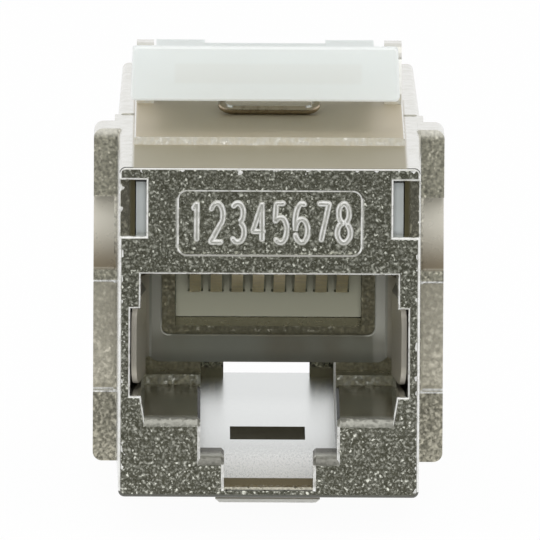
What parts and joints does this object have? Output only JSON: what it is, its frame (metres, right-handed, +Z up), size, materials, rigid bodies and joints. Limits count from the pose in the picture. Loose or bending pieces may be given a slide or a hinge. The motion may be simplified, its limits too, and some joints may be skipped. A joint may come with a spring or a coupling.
{
  "type": "ethernet inline coupler",
  "caption": "Shielded feed-through coupler in a keystone block: a jack in front and one behind, cast shells, a sprung latch on top and a panel hook below.",
  "frame": {"origin": "bottom edge of the front face, in the middle of the block's width", "axes": "+Y runs into the block from the front jack to the rear jack, +Z up to the latch, +X to the right seen from the front"},
  "size_m": [0.0172, 0.0344, 0.0224],
  "materials": {
    "plated_zinc": "satin nickel over a fine cast grain",
    "latch_plastic": "smooth white moulding",
    "carrier_plastic": "white moulding",
    "board": "green solder mask",
    "clip_strip": "bright nickel strip",
    "gold_strip": "gold plating",
    "spring_wire": "drawn wire"
  },
  "bodies": {
    "housing": {"front_shell": "plated_zinc", "rear_shell": "plated_zinc", "latch_spring": "spring_wire", "front_carrier": "carrier_plastic", "rear_carrier": "carrier_plastic", "circuit_board": "board", "front_ground_clip": "clip_strip", "rear_ground_clip": "clip_strip", "front_contact_1": "gold_strip", "front_contact_2": "gold_strip", "front_contact_3": "gold_strip", "front_contact_4": "gold_strip", "front_contact_5": "gold_strip", "front_contact_6": "gold_strip", "front_contact_7": "gold_strip", "front_contact_8": "gold_strip", "rear_contact_1": "gold_strip", "rear_contact_2": "gold_strip", "rear_contact_3": "gold_strip", "rear_contact_4": "gold_strip", "rear_contact_5": "gold_strip", "rear_contact_6": "gold_strip", "rear_contact_7": "gold_strip", "rear_contact_8": "gold_strip"},
    "latch": {"keystone_latch": "latch_plastic"}
  },
  "joints": [
    {"name": "latch_press", "type": "hinge", "parent": "housing", "child": "latch", "pos_m": [0, 0.0196, 0.0176], "axis": [1, 0, 0], "range_deg": [0, 7.5], "stiffness_Nm_per_rad": 0.05, "deforming": ["latch_spring"]}
  ]
}
